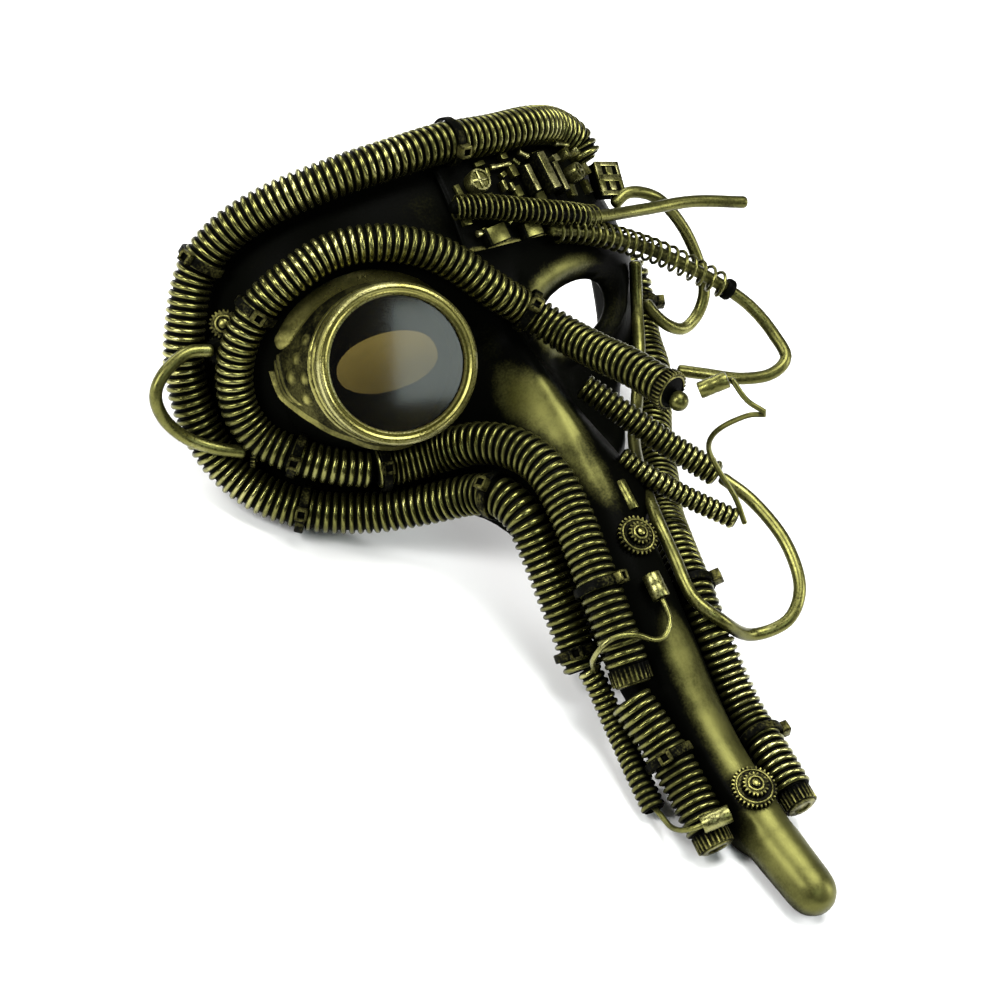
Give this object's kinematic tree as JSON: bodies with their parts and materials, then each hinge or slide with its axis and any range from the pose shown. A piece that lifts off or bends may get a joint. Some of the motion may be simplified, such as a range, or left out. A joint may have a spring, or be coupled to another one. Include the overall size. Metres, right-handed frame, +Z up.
{
  "type": "long nosed steampunk half mask",
  "caption": "Hollow carnival half mask with a long drooping nose, one goggle, ribbed hoses, bent pipes, springs, gears and a forehead circuit panel in aged brass.",
  "frame": {"origin": "on the table, under the middle of the box round the resting mask", "axes": "+Z up from the table, -Y towards the tip of the nose, +X to the wearer's left"},
  "size_m": [0.2144, 0.2744, 0.1142],
  "materials": {
    "shell_bronze": "dark bronze paint with gold rubbed over the high places",
    "hose_gold": "corrugated plastic, black in the grooves and gold rubbed on the ribs",
    "goggle_brass": "aged brass paint",
    "lens_smoke": "dark smoked lens, polished",
    "pipe_brass": "aged brass, satin",
    "trim_dark": "blackened brass with worn edges",
    "board_dark": "dark bronze paint",
    "panel_brass": "gold rubbed over black"
  },
  "bodies": {
    "root": {"ball_brow": "pipe_brass", "cap_cheek": "trim_dark", "cap_far": "trim_dark", "cap_near": "trim_dark", "coil_nose_thin": "hose_gold", "ferrule_brow": "pipe_brass", "ferrule_nose_lower": "pipe_brass", "ferrule_nose_upper": "pipe_brass", "ferrule_tip": "pipe_brass", "gear_nose_lower": "trim_dark", "gear_nose_upper": "trim_dark", "gear_temple_lower": "trim_dark", "gear_temple_middle": "trim_dark", "gear_temple_upper": "trim_dark", "goggle_bezel": "goggle_brass", "goggle_cup": "goggle_brass", "goggle_lens": "lens_smoke", "hose_brow": "hose_gold", "hose_cheek": "hose_gold", "hose_crown": "hose_gold", "hose_nose_far": "hose_gold", "hose_nose_near": "hose_gold", "mask_shell": "shell_bronze", "panel_bar_left": "panel_brass", "panel_bar_middle": "panel_brass", "panel_bar_right": "panel_brass", "panel_block_left": "panel_brass", "panel_block_right": "panel_brass", "panel_board": "board_dark", "panel_dial": "panel_brass", "panel_knob": "panel_brass", "panel_nut": "panel_brass", "panel_screw": "panel_brass", "panel_socket": "panel_brass", "pipe_cheek_ring": "pipe_brass", "pipe_crown": "pipe_brass", "pipe_nose_loop": "pipe_brass", "pipe_spring_loop": "pipe_brass", "pipe_temple_loop": "pipe_brass", "rim_brow": "trim_dark", "spring_crown": "pipe_brass", "spring_temple": "pipe_brass", "tie_brow_bridge": "trim_dark", "tie_brow_temple": "trim_dark", "tie_cheek_nose": "trim_dark", "tie_cheek_start": "trim_dark", "tie_crown_cheek": "trim_dark", "tie_crown_end": "trim_dark", "tie_crown_nose": "trim_dark", "tie_crown_temple": "trim_dark", "tie_crown_top": "trim_dark", "tie_far_lower": "trim_dark", "tie_far_upper": "trim_dark", "tie_near": "trim_dark", "tube_lower": "hose_gold", "tube_upper": "hose_gold", "wire_lower": "pipe_brass", "wire_middle": "pipe_brass", "wire_upper": "pipe_brass"}
  },
  "joints": []
}
